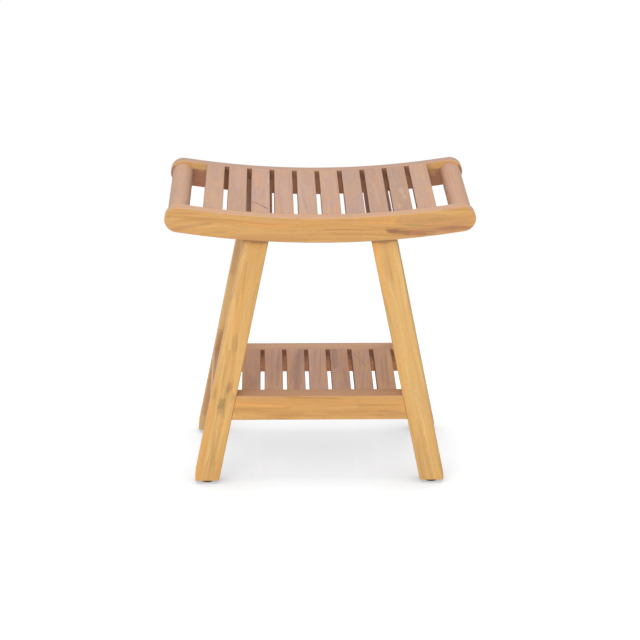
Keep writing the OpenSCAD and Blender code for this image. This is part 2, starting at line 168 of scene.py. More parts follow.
def makeGrain(v):
    # Sawn wood. Rings are shells of equal distance from a pith line along Y, bent by slow noise, and darken
    # towards each shell's end. Streaks are noise drawn out along Y at three widths, pores are short dashes, and
    # wide clouds tint it between mauve and amber.
    tree, n, into, out = newGroup("teakGrain", [
        ("Place", "Vector", (0, 0, 0)), ("Pith", "Vector", (0.03, 0, 0.05)), ("Seed", "Float", 0.0),
        ("Ring Width", "Float", 0.0035), ("Wander", "Float", 0.010), ("Wood", "Color", rgba((0.6, 0.3, 0.1))),
        ("Ring", "Color", rgba((0.4, 0.2, 0.1))), ("Warm", "Color", rgba((0.7, 0.3, 0.1))),
        ("Pale", "Color", rgba((0.7, 0.5, 0.2))), ("Pore", "Color", rgba(poreColour)),
        ("Ring Strength", "Float", 0.5), ("Band Strength", "Float", 0.5), ("Streak Strength", "Float", 0.5),
        ("Pore Strength", "Float", 0.5), ("Cloud Strength", "Float", 0.3),
    ], [("Color", "Color"), ("Figure", "Float"), ("Roughness", "Float"), ("Height", "Float")])
    seed = n.add("ShaderNodeCombineXYZ", {0: into["Seed"], 1: n.math("MULTIPLY", into["Seed"], 2.7), 2: into["Seed"]})
    apart = n.vector("ADD", into["Place"], seed.outputs[0])
    slow = n.add("ShaderNodeTexNoise", {"Vector": n.times(apart, v["slow"]), "Scale": 1.0, "Detail": 3.0,
                                        "Roughness": 0.45}).outputs["Color"]
    reach = n.math("MULTIPLY", into["Wander"], v["bend"])
    bend = n.vector("MULTIPLY", n.vector("SUBTRACT", slow, (0.5, 0.5, 0.5)),
                    n.add("ShaderNodeCombineXYZ", {0: reach, 1: 0.0, 2: reach}).outputs[0])
    flow = n.vector("ADD", into["Place"], bend)
    apart = n.vector("ADD", flow, seed.outputs[0])
    across = n.times(n.vector("SUBTRACT", flow, into["Pith"]), (1.0, 0.0, 1.0))
    turns = n.math("DIVIDE", n.vector("LENGTH", across), into["Ring Width"])
    uneven = n.add("ShaderNodeTexNoise", {"W": n.math("MULTIPLY_ADD", turns, v["crowdOften"], into["Seed"]),
                                          "Scale": 1.0, "Detail": 1.0}, noise_dimensions="1D").outputs["Fac"]
    turns = n.math("MULTIPLY_ADD", uneven, v["crowdMuch"], turns)
    share = n.math("FRACT", turns)
    late = n.math("MULTIPLY", n.smooth(share, *v["lateGrows"]), n.smooth(share, *v["lateEnds"]))
    each = n.add("ShaderNodeTexWhiteNoise", {"W": n.math("ADD", n.math("FLOOR", turns), into["Seed"])},
                 noise_dimensions="1D").outputs["Value"]
    rings = n.math("MULTIPLY", late, n.math("MULTIPLY_ADD", each, 1.0 - v["weakestRing"], v["weakestRing"]))
    band = n.noise(n.times(apart, v["band"]), 1.0, 3.0, 0.55)
    streak = n.noise(n.times(apart, v["streak"]), 1.0, 3.0, 0.6)
    fine = n.noise(n.times(apart, v["fine"]), 1.0, 3.0, 0.65)
    dashes = n.noise(n.times(apart, v["pore"]), 1.0, 1.0, 0.5)
    openWood = n.math("MULTIPLY_ADD", late, -v["latePoresLost"], 1.0)
    pores = n.math("MULTIPLY", n.smooth(dashes, *v["poreLevels"]), openWood)
    warm = n.math("MULTIPLY", n.smooth(band, *v["warmLevels"]), into["Band Strength"])
    pale = n.math("MULTIPLY", n.smooth(band, *v["paleLevels"]), into["Band Strength"])
    line = n.math("MULTIPLY", n.smooth(streak, *v["lineLevels"]), into["Streak Strength"])
    most = n.math("MULTIPLY", into["Streak Strength"], v["light"])
    light = n.math("MULTIPLY", n.smooth(streak, *v["lightLevels"]), most)
    darker = n.math("MULTIPLY_ADD", rings, into["Ring Strength"], line, clamp=True)
    colour = n.mix(warm, into["Wood"], into["Warm"])
    colour = n.mix(pale, colour, into["Pale"])
    colour = n.mix(light, colour, into["Pale"])
    colour = n.mix(darker, colour, into["Ring"])
    colour = n.mix(n.math("MULTIPLY", n.smooth(fine, *v["fineLevels"]), v["fineShare"]), colour, into["Ring"])
    shown = n.math("MULTIPLY", pores, n.math("MULTIPLY", into["Pore Strength"], v["poreShare"]))
    colour = n.mix(shown, colour, into["Pore"])
    cloud = n.smooth(n.noise(n.times(apart, v["cloud"]), 1.0, 2.0, 0.5), *v["cloudLevels"])
    tint = n.mix(cloud, cloudTints["mauve"], cloudTints["amber"])
    tint = n.mix(into["Cloud Strength"], rgba((1, 1, 1)), tint)
    n.put(out["Color"], n.vector("MULTIPLY", colour, tint))
    n.put(out["Figure"], n.math("MULTIPLY_ADD", fine, v["fineFigure"], n.math("MULTIPLY", darker, v["ringFigure"])))
    rough = n.math("MULTIPLY_ADD", fine, v["fineRoughness"], v["roughness"])
    n.put(out["Roughness"], n.math("MULTIPLY_ADD", rings, v["ringRoughness"], rough))
    pits = n.math("MULTIPLY_ADD", fine, v["fineHeight"], n.math("MULTIPLY", pores, -1.0))
    n.put(out["Height"], n.math("MULTIPLY_ADD", rings, v["ringHeight"], pits))
    return tree


facingValues = {"blotches": 60.0, "ragged": 0.30, "raggedDepth": 1.5, "figure": 0.40, "lift": 1.10}


def makeFacing(v):
    # Faces turned to one axis take another colour, from a depth on, with a blotchy border; it serves for the wood's
    # own colours and for painted shade. The mask is the normal's share along the axis, taken on both sides where Both
    # Sides is 1, times a step of the depth.
    tree, n, into, out = newGroup("facingTint", [
        ("Color", "Color", rgba(brown)), ("Finish", "Color", rgba(damp)), ("Figure", "Float", 0.0),
        ("Place", "Vector", (0, 0, 0)), ("Normal", "Vector", (0, 0, 1)), ("Axis", "Vector", (0, 0, 1)),
        ("Both Sides", "Float", 0.0), ("Low", "Float", 0.3), ("High", "Float", 0.8), ("Depth", "Float", 1.0),
        ("Start", "Float", 0.0), ("Reach", "Float", 0.004), ("Strength", "Float", 1.0),
    ], [("Color", "Color")])
    facing = n.vector("DOT_PRODUCT", into["Normal"], into["Axis"])
    either = n.math("MULTIPLY", n.math("SUBTRACT", n.math("ABSOLUTE", facing), facing), into["Both Sides"])
    blotch = n.math("SUBTRACT", n.noise(into["Place"], v["blotches"], 3.0, 0.6), 0.5)
    level = n.math("MULTIPLY_ADD", blotch, v["ragged"], n.math("ADD", facing, either))
    edge = n.math("MULTIPLY_ADD", blotch, n.math("MULTIPLY", into["Reach"], v["raggedDepth"]), into["Depth"])
    deep = n.smooth(edge, into["Start"], n.math("ADD", into["Start"], into["Reach"]))
    mask = n.math("MULTIPLY", n.math("MULTIPLY", n.smooth(level, into["Low"], into["High"]), deep), into["Strength"])
    figure = n.math("MULTIPLY_ADD", into["Figure"], -v["figure"], v["lift"])
    n.put(out["Color"], n.mix(mask, into["Color"], n.vector("MULTIPLY", into["Finish"], n.spread(figure))))
    return tree


markValues = {"grain": (420.0, 26.0, 420.0), "fray": 3.0, "taper": 0.4, "narrowest": 0.05}


def makeMark(v):
    # A mark along a bowed line between two points: strength falls with distance from it, and the line
    # narrows towards both ends. Bow is how far its middle lies off the straight line.
    tree, n, into, out = newGroup("markAlongLine", [
        ("Color", "Color", rgba(brown)), ("Mark", "Color", rgba(damp)), ("Place", "Vector", (0, 0, 0)),
        ("Start", "Vector", (0, 0, 0)), ("End", "Vector", (0, 0.1, 0)), ("Bow", "Vector", (0, 0, 0)),
        ("Width", "Float", 0.002), ("Fray", "Float", 0.001), ("Strength", "Float", 0.8),
    ], [("Color", "Color")])
    run = n.vector("SUBTRACT", into["End"], into["Start"])
    reach = n.vector("SUBTRACT", into["Place"], into["Start"])
    share = n.math("DIVIDE", n.vector("DOT_PRODUCT", reach, run), n.vector("DOT_PRODUCT", run, run), clamp=True)
    arch = n.math("MULTIPLY", n.math("MULTIPLY", share, n.math("SUBTRACT", 1.0, share)), 4.0)
    centre = n.vector("ADD", n.vector("MULTIPLY", run, n.spread(share)),
                      n.vector("MULTIPLY", into["Bow"], n.spread(arch)))
    fray = n.math("SUBTRACT", n.noise(n.times(into["Place"], v["grain"]), 1.0, 3.0, 0.6), 0.5)
    gap = n.vector("DISTANCE", reach, centre)
    gap = n.math("MULTIPLY_ADD", fray, n.math("MULTIPLY", into["Fray"], v["fray"]), gap)
    taper = n.math("MULTIPLY_ADD", n.math("POWER", arch, v["taper"]), 1.0 - v["narrowest"], v["narrowest"])
    inside = n.math("SUBTRACT", 1.0, n.math("DIVIDE", gap, n.math("MULTIPLY", into["Width"], taper)), clamp=True)
    mask = n.math("MULTIPLY", n.smooth(inside, 0.0, 1.0), into["Strength"])
    n.put(out["Color"], n.mix(mask, into["Color"], into["Mark"]))
    return tree


knotValues = {"shape": (1.0, 0.45, 1.0), "cloud": (260.0, 90.0, 260.0), "cloudy": 2.2, "rim": (1.3, 0.1)}


def makeKnot(v):
    # A small knot: an oval eye drawn out along the grain, with a cloudy rim
    tree, n, into, out = newGroup("knotMark", [
        ("Color", "Color", rgba(brown)), ("Mark", "Color", rgba(damp)), ("Place", "Vector", (0, 0, 0)),
        ("Centre", "Vector", (0, 0, 0)), ("Radius", "Float", 0.006), ("Strength", "Float", 0.7),
    ], [("Color", "Color")])
    reach = n.times(n.vector("SUBTRACT", into["Place"], into["Centre"]), v["shape"])
    cloud = n.math("SUBTRACT", n.noise(n.times(into["Place"], v["cloud"]), 1.0, 3.0, 0.6), 0.5)
    away = n.math("MULTIPLY_ADD", cloud, v["cloudy"], n.math("DIVIDE", n.vector("LENGTH", reach), into["Radius"]))
    mask = n.math("MULTIPLY", n.smooth(away, *v["rim"]), into["Strength"])
    n.put(out["Color"], n.mix(mask, into["Color"], into["Mark"]))
    return tree


arrisValues = {"patches": (150.0, 30.0, 150.0), "patchLevels": (0.25, 0.60), "edgeLevels": (0.12, 0.55)}


def makeArrisTint(v):
    # Rubbed arrises, and on the shelf rails a pale painted highlight: on a rounded edge the normal lies between a
    # face's axis and the plane across it, so the smaller of its two shares is greatest in the middle of the rounding
    tree, n, into, out = newGroup("arrisWearAndHighlight", [
        ("Color", "Color", rgba(brown)), ("Rubbed", "Color", rgba(brown)), ("Place", "Vector", (0, 0, 0)),
        ("Normal", "Vector", (0, 0, 1)), ("Axis", "Vector", (0, 1, 0)), ("Strength", "Float", 0.5),
    ], [("Color", "Color")])
    share = n.math("ABSOLUTE", n.vector("DOT_PRODUCT", into["Normal"], into["Axis"]))
    other = n.math("SQRT", n.math("SUBTRACT", 1.0, n.math("MULTIPLY", share, share), clamp=True))
    uneven = n.noise(n.times(into["Place"], v["patches"]), 1.0, 2.0, 0.6)
    edge = n.smooth(n.math("MINIMUM", share, other), *v["edgeLevels"])
    mask = n.math("MULTIPLY", edge, n.smooth(uneven, *v["patchLevels"]))
    mask = n.math("MULTIPLY", mask, into["Strength"])
    n.put(out["Color"], n.mix(mask, into["Color"], into["Rubbed"]))
    return tree


grainGroup, facingGroup, markGroup = makeGrain(grainValues), makeFacing(facingValues), makeMark(markValues)
knotGroup, arrisGroup = makeKnot(knotValues), makeArrisTint(arrisValues)
print("node groups made")


teakValues = {  # what a piece has where its own values don't say otherwise
    "tone": 1.0, "pith": (0.03, 0, 0.05), "ringWidth": 0.0042, "wander": 0.008, "rings": 0.4, "bands": 0.6,
    "streaks": 0.4, "pores": 0.5, "clouds": 0.25, "facingColours": (), "marks": (), "bump": 0.35, "bumpDepth": 0.00025,
    "specular": 0.35}
# arris colours: rubbed wear on the slats and frame, and a pale painted highlight on the shelf rails
arrisColours = {"slat": (0.470, 0.275, 0.185), "frame": (0.600, 0.340, 0.180), "shelfRailHighlight": (0.680, 0.400, 0.250)}
rightward, backward, upward, downward = (1, 0, 0), (0, 1, 0), (0, 0, 1), (0, 0, -1)


def facingDepth(n, place, coat):
    # how deep a point lies, as the tint measures it, or 1 where it goes by facing alone
    if "dish" in coat:  # under the dish's surface
        far = n.vector("DISTANCE", n.times(place, (1.0, 0.0, 1.0)), (0.0, 0.0, benchValues["dishHeight"]))
        depth = n.math("MULTIPLY", n.math("SUBTRACT", far, benchValues["dishRadius"]), coat["dish"])
        if "within" in coat:  # this near the middle of the bench, the whole face counts as deep
            edge, border, whole = coat["within"], 0.003, 0.05
            side = n.math("ABSOLUTE", n.part(place, 0))
            depth = n.math("ADD", depth, n.smooth(side, edge, edge - border, (0.0, whole)))
        return depth
    if "behind" in coat:  # towards the back, from this far on
        return n.math("SUBTRACT", n.part(place, 1), coat["behind"])
    if "shelf" in coat:  # under the shelf's top
        return n.math("SUBTRACT", benchValues["shelfHeight"], n.part(place, 2))
    return 1.0


def teakMaterial(name, middle, turn, wood, values):
    # one teak in a piece's own frame: grain, then colours by facing, some of them painted shade and sheen, then
    # marks, some of them painted light and shade, then rubbed arrises, on the shelf rails a painted highlight
    v = {**teakValues, **values}
    material, n = newMaterial(name)
    texture = n.add("ShaderNodeTexCoord").outputs
    mapping = n.add("ShaderNodeMapping", {"Vector": texture["Object"], "Location": middle,
                                          "Rotation": turn.to_euler()}, vector_type="TEXTURE")
    place, normal = mapping.outputs[0], texture["Normal"]
    grain = n.group(grainGroup, place=place, seed=v["seed"], pith=v["pith"], ringWidth=v["ringWidth"],
                    wander=v["wander"], ringStrength=v["rings"], bandStrength=v["bands"], streakStrength=v["streaks"],
                    poreStrength=v["pores"], cloudStrength=v["clouds"],
                    **{key.lower(): rgba(colour, v["tone"]) for key, colour in woodColours[wood].items()})
    colour = grain["Color"]
    for coat in v["facingColours"]:
        colour = n.group(facingGroup, color=colour, finish=rgba(coat["colour"], v["tone"]), figure=grain["Figure"],
                         place=place, normal=normal, axis=coat["axis"], bothSides=coat["both"], low=coat["low"],
                         high=coat["high"], depth=facingDepth(n, texture["Object"], coat), start=coat["start"],
                         reach=coat["reach"], strength=coat["strength"])["Color"]
    inverse = turn.transposed()
    for mark in v["marks"]:
        points = {key: inverse @ (Vector(mark[key]) - middle) for key in markPoints if key in mark}
        if "centre" in mark:
            colour = n.group(knotGroup, color=colour, mark=rgba(mark["colour"]), place=place, radius=mark["radius"],
                             strength=mark["strength"], **points)["Color"]
        else:
            colour = n.group(markGroup, color=colour, mark=rgba(mark["colour"]), place=place,
                             bow=inverse @ Vector(mark["bow"]), width=mark["width"], fray=mark["fray"],
                             strength=mark["strength"], **points)["Color"]
    if "wear" in v:
        wear = v["wear"]
        colour = n.group(arrisGroup, color=colour, rubbed=rgba(wear["colour"]), place=place, normal=normal,
                         axis=wear["axis"], strength=wear["strength"])["Color"]
    bump = n.add("ShaderNodeBump", {"Height": grain["Height"], "Strength": v["bump"], "Distance": v["bumpDepth"]})
    shader = n.add("ShaderNodeBsdfPrincipled", {"Base Color": colour, "Roughness": grain["Roughness"],
                                                "Normal": bump.outputs[0]})
    shader.inputs["Specular IOR Level"].default_value = v["specular"]
    n.surface(shader.outputs[0])
    return material


def dress(node, material):
    # gives a CAD node one material in all its slots
    mesh = nodes[node].data
    if not mesh.materials:
        mesh.materials.append(material)
    for k in range(len(mesh.materials)):
        mesh.materials[k] = material


def dressInTeak(node, name, across, along, wood, values):
    # teak centred on the node, in a frame whose X runs across it and Y along its grain
    low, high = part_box(node)
    x, y = Vector(across).normalized(), Vector(along).normalized()
    turn = Matrix((x, y, x.cross(y))).transposed()
    dress(node, teakMaterial(name, (Vector(low) + Vector(high)) / 2, turn, wood, values))


def joined(name):
    # front_left becomes FrontLeft
    return "".join(word.title() for word in name.split("_"))


def finish(axis, low, high, colour, both=0.0, start=0.0, reach=0.004, strength=1.0, **depth):
    # a colour for faces turned to an axis, used for the wood's own colours and for painted shade: it grows from a low
    # to a high share of it, and over a reach of the depth
    return {"axis": axis, "low": low, "high": high, "colour": colour, "both": both, "start": start, "reach": reach,
            "strength": strength, **depth}


# an arris colour: rubbed wear, and on the shelf rails a painted highlight
def rubbed(axis, piece, strength):
    return {"axis": axis, "colour": arrisColours[piece], "strength": strength}


def line(start, end, colour, width, strength, bow=(0, 0, 0), fray=0.001):
    return {"start": start, "end": end, "colour": colour, "width": width, "strength": strength, "bow": bow,
            "fray": fray}


def spot(centre, colour, radius, strength):
    return {"centre": centre, "colour": colour, "radius": radius, "strength": strength}


markPoints = ("start", "end", "centre")


def placeMarks(values, onto):
    # marks are given by two numbers each, which onto turns into a point on the surface that shows
    marks = [{key: onto(*value) if key in markPoints else value for key, value in mark.items()}
             for mark in values.get("marks", ())]
    return {**values, "marks": marks}


def onFace(values):
    # marks at (x, z), on an upright face at its distance from the middle
    return placeMarks(values, lambda x, z: (x, values["face"], z))


def onDish(x, y):
    return x, y, benchValues["dishHeight"] - math.sqrt(benchValues["dishRadius"] ** 2 - x * x)


def onShelf(x, y):
    return x, y, benchValues["shelfHeight"]


slatValues = {"pithAcross": (-0.05, 0.05), "pithBelow": (-0.10, -0.03), "ringWidth": (0.003, 0.005),
              "wander": 0.006, "clouds": 0.65, "damp": 0.9, "wear": 0.5}


def slatLooks(v, seed, across, below, own):
    # what every slat has: its own pith and rings, painted shade on its sides, a brown underside and rubbed arrises
    draw = np.random.default_rng(seed)
    return {"pith": (draw.uniform(*v["pithAcross"]), 0, draw.uniform(*v["pithBelow"])),
            "ringWidth": draw.uniform(*v["ringWidth"]), "wander": v["wander"], "clouds": v["clouds"],
            "facingColours": [finish(across, 0.75, 0.95, damp, both=1.0, strength=v["damp"]),
                         finish(below, 0.5, 0.9, brown)],
            "wear": rubbed(across, "slat", v["wear"]), **own}


seatSlatValues = {  # from the left; marks are at (x, y), in metres
    # the thin marks across the back ends of slats 1, 3, 4 and 5 are painted shade where the slat tops meet the rear
    # rail
    1: {"tone": (0.92, 0.885, 0.78), "marks": [
        line((-0.186, 0.088), (-0.160, 0.104), (0.40, 0.25, 0.19), 0.0016, 0.35),
        line((-0.1740, 0.150), (-0.1740, 0.030), (0.385, 0.235, 0.168), 0.0200, 0.70, fray=0.004)]},
    2: {"tone": (0.845, 0.835, 0.825), "marks": [
        line((-0.1350, 0.142), (-0.1350, 0.000), (0.465, 0.275, 0.192), 0.0200, 0.55, fray=0.004),
        line((-0.1350, -0.020), (-0.1350, -0.142), (0.385, 0.222, 0.152), 0.0200, 0.50, fray=0.004)]},
    3: {"tone": (0.905, 0.91, 0.94), "marks": [
        line((-0.1085, -0.078), (-0.0845, -0.119), (0.090, 0.045, 0.030), 0.0026, 0.90, fray=0.0012),
        line((-0.1130, -0.084), (-0.1080, -0.078), (0.120, 0.060, 0.042), 0.0024, 0.80, fray=0.0012),
        line((-0.1120, 0.124), (-0.0830, 0.118), (0.330, 0.180, 0.135), 0.0050, 0.50, fray=0.002)]},
    4: {"tone": (0.90, 0.87, 0.825), "marks": [
        line((-0.0740, 0.108), (-0.0480, 0.112), (0.36, 0.19, 0.14), 0.0040, 0.35, fray=0.002)]},
    5: {"tone": (0.91, 0.925, 0.89), "marks": [
        line((-0.0370, 0.122), (-0.0080, 0.126), (0.38, 0.20, 0.13), 0.0060, 0.50, bow=(0, -0.004, 0), fray=0.002),
        line((-0.0200, 0.160), (-0.0200, 0.040), (0.395, 0.228, 0.160), 0.0200, 0.60, fray=0.004)]},
    6: {"tone": (0.92, 0.92, 0.895)},
    7: {"tone": (0.81, 0.83, 0.86), "marks": [
        line((0.0620, 0.125), (0.0560, 0.070), (0.40, 0.24, 0.18), 0.0070, 0.50, fray=0.003)]},
    8: {"tone": (0.84, 0.81, 0.77), "marks": [
        line((0.094, 0.060), (0.099, -0.100), (0.44, 0.31, 0.24), 0.0040, 0.40)]},
    9: {"tone": (0.77, 0.785, 0.765), "marks": [
        line((0.1380, 0.000), (0.1390, -0.040), (0.60, 0.35, 0.17), 0.0085, 0.35, fray=0.004),
        line((0.1430, -0.045), (0.1435, -0.075), (0.62, 0.35, 0.16), 0.0060, 0.40, fray=0.003),
        line((0.1305, -0.098), (0.1315, -0.128), (0.62, 0.34, 0.15), 0.0070, 0.35, fray=0.003),
        line((0.134, 0.100), (0.132, 0.020), (0.38, 0.26, 0.20), 0.0060, 0.45)]},
    10: {"tone": (0.895, 0.895, 0.845)},
}
middleSlat = (len(seatSlatValues) + 1) / 2
for k, own in seatSlatValues.items():
    angle = (k - middleSlat) * benchValues["seatPitch"] / benchValues["dishRadius"]
    across, below = (math.cos(angle), 0, math.sin(angle)), (math.sin(angle), 0, -math.cos(angle))
    values = {"seed": 3.1 * k, "rings": 0.30, "bands": 0.75, "streaks": 0.45,
              **slatLooks(slatValues, 40 + k, across, below, placeMarks(own, onDish))}
    dressInTeak(f"seat_slat_{k}", f"seatSlatTeak{k}", across, backward, "rose", values)
print("seat slats dressed")

handleValues = {"left": {"tone": (0.92, 0.90, 0.825), "seed": 50.3},
                "right": {"tone": (0.94, 0.88, 0.775), "seed": 57.3}}
for side, own in handleValues.items():
    values = {"pith": (0.022, 0, -0.030), "rings": 0.30, "ringWidth": 0.0045, "bands": 0.7, "streaks": 0.45,
              "wander": 0.006, "clouds": 0.5, "facingColours": [finish(downward, 0.2, 0.9, brown)], **own}
    dressInTeak(f"handle_{side}", f"{side}HandleTeak", rightward, backward, "rose", values)

veins = {"dark": (0.270, 0.120, 0.055), "red": (0.470, 0.215, 0.105), "olive": (0.430, 0.290, 0.095),
         "flame": (0.830, 0.400, 0.110), "soft": (0.520, 0.265, 0.095)}
railInsideShade = (0.375, 0.168, 0.094)  # painted shade on the inner faces between the slats, with some weathering
seatRailValues = {  # face is the upright face that shows, and marks are at (x, z) on it
    "front": {
        "seed": 11.7, "pith": (0.004, 0, -0.075), "ringWidth": 0.0070, "wander": 0.010, "rings": 0.38, "bands": 0.8,
        "streaks": 0.55, "tone": (0.98, 0.935, 0.92), "rinsedAndSheen": (0.500, 0.300, 0.177), "face": -0.165, "marks": [
            line((-0.1391, 0.4410), (-0.0200, 0.4370), veins["soft"], 0.0090, 0.40, fray=0.002),
            line((0.1217, 0.4655), (0.2490, 0.4667), (0.530, 0.280, 0.125), 0.0175, 0.62, fray=0.004),
            line((-0.2450, 0.4660), (-0.1700, 0.4712), veins["soft"], 0.0032, 0.60, bow=(0, 0, 0.0020), fray=0.0014),
            line((-0.2470, 0.4530), (-0.1760, 0.4642), veins["red"], 0.0042, 0.50, bow=(0, 0, 0.0012), fray=0.002),
            line((-0.2040, 0.4558), (-0.1640, 0.4602), veins["flame"], 0.0036, 0.50, fray=0.0015),
            line((-0.1960, 0.4466), (-0.1520, 0.4498), veins["olive"], 0.0040, 0.50, fray=0.002),
            line((0.0030, 0.4524), (0.1100, 0.4528), veins["red"], 0.0022, 0.55, fray=0.0010),
            line((0.0240, 0.4684), (0.1150, 0.4690), veins["soft"], 0.0040, 0.40, fray=0.002),
            line((0.1050, 0.4518), (0.1740, 0.4466), veins["dark"], 0.0070, 0.85, bow=(0, 0, -0.0012), fray=0.0055),
            spot((0.1200, 0.4492), (0.190, 0.095, 0.055), 0.0044, 0.40),
            line((0.1210, 0.4484), (0.1550, 0.4452), veins["red"], 0.0040, 0.55, fray=0.002),
            line((0.1080, 0.4486), (0.1900, 0.4486), (0.360, 0.170, 0.080), 0.0080, 0.45, fray=0.004),
            line((0.1850, 0.4536), (0.2250, 0.4580), veins["dark"], 0.0022, 0.50, fray=0.0014),
            line((0.1500, 0.4660), (0.2150, 0.4690), veins["soft"], 0.0040, 0.45, fray=0.002),
            line((0.1460, 0.4468), (0.2500, 0.4570), veins["red"], 0.0100, 0.85, bow=(0, 0, 0.0008), fray=0.0075),
            line((0.1950, 0.4546), (0.2490, 0.4566), veins["dark"], 0.0036, 0.36, fray=0.002),
            line((0.1370, 0.4604), (0.1680, 0.4598), veins["olive"], 0.0034, 0.60, fray=0.0014),
            line((0.1720, 0.4706), (0.2000, 0.4714), veins["olive"], 0.0030, 0.55, fray=0.0014)]},
    "rear": {
        "seed": 19.2, "pith": (-0.012, 0, -0.085), "ringWidth": 0.0080, "wander": 0.010, "rings": 0.30, "bands": 0.75,
        "streaks": 0.45, "tone": (1.03, 1.06, 1.15), "rinsedAndSheen": (0.380, 0.220, 0.141), "face": 0.142,
        "backEdge": {"behind": 0.1585, "colour": (0.305, 0.182, 0.123)}, "marks": [
            # on the inner face that shows: the first two marks are painted shade, darker in the gap by the first slat
            # and a lighter band lower down; the last two make the top of the face golden beside the handles
            line((-0.1560, 0.4760), (-0.1560, 0.4300), (0.200, 0.080, 0.048), 0.0160, 0.60),
            line((-0.1100, 0.4550), (0.1350, 0.4550), (0.510, 0.245, 0.140), 0.0300, 0.55),
            line((0.1960, 0.4760), (0.2060, 0.4640), (0.560, 0.350, 0.110), 0.0080, 0.70, fray=0.003),
            line((-0.2060, 0.4790), (-0.1960, 0.4700), (0.560, 0.340, 0.110), 0.0060, 0.60, fray=0.003)]},
}
for side, own in seatRailValues.items():
    inward = (0, 1 if side == "front" else -1, 0)
    # their tops take a rinsed grey colour that is partly a painted sheen
    facingColours = [finish(upward, 0.25, 0.75, own["rinsedAndSheen"]),
                # inner faces under the slat tops take painted shade
                finish(inward, 0.5, 0.9, railInsideShade, dish=1.0, start=0.0105, reach=0.003, within=0.1905,
                       strength=0.92)]
    if "backEdge" in own:  # a darker line along the back of the top
        facingColours.append(finish(upward, 0.25, 0.75, reach=0.003, strength=0.8, **own["backEdge"]))
    values = {**onFace(own), "facingColours": facingColours, "wear": rubbed(backward, "frame", 0.6)}
    dressInTeak(f"seat_rail_{side}", f"{side}SeatRailTeak", upward, rightward, "honey", values)
print("seat rails and handles dressed")

underSeatShade = (0.265, 0.096, 0.054)  # painted shade under the seat, on the tops of the legs and on the cross rails
shadowLineDepth = benchValues["railHeight"] + 0.013  # how far under the dish the painted shadow line below the rail ends
railShadowLine = {"colour": (0.30, 0.14, 0.06), "start": -shadowLineDepth, "reach": 0.006}
warmLeg = (0.68, 0.33, 0.108)
legValues = {  # marks are at (x, z) on the front face
    "front_left": {"seed": 5.3, "tone": (1.05, 1.07, 1.03), "pith": (0.010, 0, 0.060), "face": -0.142, "marks": [
        line((-0.1250, 0.4200), (-0.1480, 0.2980), (0.58, 0.310, 0.150), 0.0070, 0.35, fray=0.003),
        line((-0.1411, 0.3331), (-0.1510, 0.2391), (0.88, 0.52, 0.19), 0.0080, 0.55, fray=0.003),
        line((-0.1375, 0.2680), (-0.1395, 0.2360), (0.42, 0.250, 0.090), 0.0034, 0.60, fray=0.0016),
        line((-0.1432, 0.2640), (-0.1446, 0.2300), (0.42, 0.250, 0.090), 0.0032, 0.50, fray=0.0016),
        line((-0.1200, 0.3920), (-0.1290, 0.3350), (0.46, 0.260, 0.100), 0.0036, 0.45, fray=0.0016),
        line((-0.1583, 0.1660), (-0.1612, 0.1190), (0.34, 0.200, 0.080), 0.0034, 0.45, fray=0.0016),
        line((-0.1733, 0.1740), (-0.1770, 0.1520), (0.42, 0.240, 0.100), 0.0032, 0.45, fray=0.0016),
        line((-0.1760, 0.1000), (-0.1850, 0.0250), (0.46, 0.255, 0.095), 0.0036, 0.45, fray=0.0016),
        spot((-0.1490, 0.1725), (0.660, 0.310, 0.100), 0.0075, 0.55),
        spot((-0.1533, 0.1703), (0.360, 0.185, 0.080), 0.0058, 0.65),
        spot((-0.1652, 0.1420), (0.260, 0.160, 0.070), 0.0062, 0.68),
        spot((-0.1668, 0.1300), (0.360, 0.215, 0.085), 0.0050, 0.50),
        spot((-0.1450, 0.1545), (0.430, 0.300, 0.085), 0.0050, 0.45)]},
    "front_right": {"seed": 8.1, "tone": (1.09, 1.145, 1.17), "pith": (-0.006, 0, 0.070), "streaks": 0.50},
    # the rear left leg's marks are painted light and shade: darker low down by the shelf and under the seat, with a
    # lighter strip between
    "rear_left": {"seed": 13.9, "tone": (1.03, 1.14, 1.42), "pith": (0.018, 0, -0.060), "face": 0.106, "marks": [
        line((-0.1640, 0.1900), (-0.1960, 0.0300), (0.42, 0.215, 0.115), 0.0260, 0.55, fray=0.004),
        line((-0.1080, 0.4300), (-0.1180, 0.3850), (0.40, 0.215, 0.125), 0.0200, 0.55, fray=0.004),
        line((-0.1500, 0.2950), (-0.1720, 0.1950), (0.86, 0.56, 0.22), 0.0240, 0.70, fray=0.004)]},
    "rear_right": {"seed": 17.4, "tone": (1.04, 1.17, 1.36), "pith": (-0.014, 0, -0.060)},
}
for corner, own in legValues.items():
    side = -1 if corner.endswith("left") else 1
    lean = (-side * math.sin(benchValues["splay"]), 0, math.cos(benchValues["splay"]))
    across = (math.cos(benchValues["splay"]), 0, side * math.sin(benchValues["splay"]))
    # the first is painted shade on the leg tops under the seat, and the second a painted shadow line right under the
    # seat rail: with no axis, faces turned any way take it
    facingColours = [finish(upward, 0.35, 0.8, underSeatShade),
                finish((0, 0, 0), -1.0, -0.5, dish=-1.0, strength=0.70, **railShadowLine)]
    if corner.startswith("rear"):  # only their front faces keep the paler tone, which is a painted light; the others are as warm as the front legs
        facingColours.insert(0, finish(backward, -0.9, -0.3, warmLeg, strength=0.75))
    values = {"ringWidth": 0.0075, "wander": 0.007, "rings": 0.28, "bands": 0.9, "streaks": 0.5, **onFace(own),
              "facingColours": facingColours, "wear": rubbed(backward, "frame", 0.4)}
    dressInTeak(f"leg_{corner}", f"leg{joined(corner)}Teak", across, lean, "honey", values)

